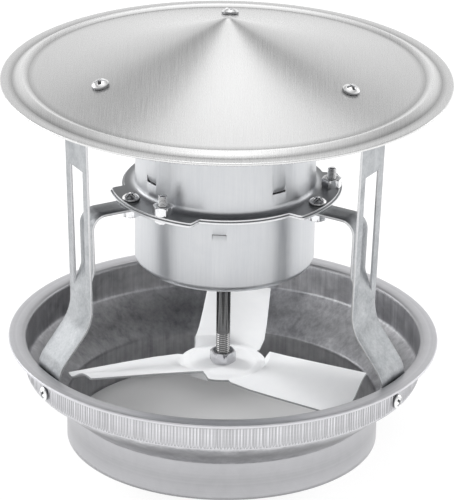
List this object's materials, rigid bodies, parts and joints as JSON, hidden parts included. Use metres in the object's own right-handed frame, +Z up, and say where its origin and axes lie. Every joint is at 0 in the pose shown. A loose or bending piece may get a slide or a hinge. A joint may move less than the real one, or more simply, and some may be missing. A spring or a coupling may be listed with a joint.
{
  "type": "chimney draught fan",
  "caption": "Chimney draught fan with a conical rain cap on folded legs, a flanged central motor and a bladed fan in a collared base pan that fits a round flue.",
  "frame": {"origin": "centre of the collar's lower edge, where the part stands", "axes": "+Z up the flue axis, -Y towards the side seen in the picture, one leg on +Y"},
  "size_m": [0.25, 0.25, 0.2506],
  "materials": {
    "spun_zinc": "dull satin galvanised sheet",
    "brushed_cap": "brushed sheet, fine straight grain",
    "galvanised_strip": "pale galvanised strip",
    "drawn_zinc": "bright zinc-plated drawn sheet",
    "lamination": "varnished lamination stack",
    "cast_cage": "die-cast",
    "enamelled_copper": "varnished enamelled wire",
    "shaft_steel": "ground and threaded steel",
    "white_enamel": "smooth white paint",
    "bearing_steel": "ground bearing steel",
    "plated_fastener": "bright zinc plating",
    "grommet_rubber": "matt rubber"
  },
  "bodies": {
    "frame": {"base_pan": "spun_zinc", "base_screws": "plated_fastener", "base_nuts": "plated_fastener", "leg_back": "galvanised_strip", "leg_left": "galvanised_strip", "leg_right": "galvanised_strip", "rain_cap": "brushed_cap", "cap_screws": "plated_fastener", "cap_nuts": "plated_fastener", "upper_motor_cup": "drawn_zinc", "lower_motor_cup": "drawn_zinc", "flange_screws": "plated_fastener", "flange_screw_nuts": "plated_fastener", "flange_bolts": "plated_fastener", "flange_bolt_nuts": "plated_fastener", "stator_core": "lamination", "stator_windings": "enamelled_copper", "upper_bearing_outer_ring": "bearing_steel", "lower_bearing_outer_ring": "bearing_steel", "cable_grommet": "grommet_rubber"},
    "fan": {"motor_shaft": "shaft_steel", "rotor_core": "lamination", "rotor_cage": "cast_cage", "upper_bearing_inner_ring": "bearing_steel", "lower_bearing_inner_ring": "bearing_steel", "fan_blade": "white_enamel", "fan_nut_upper": "shaft_steel", "fan_nut_lower": "shaft_steel"}
  },
  "joints": [
    {"name": "fan_spin", "type": "hinge", "parent": "frame", "child": "fan", "pos_m": [0, 0, 0.1], "axis": [0, 0, 1], "continuous": true}
  ]
}
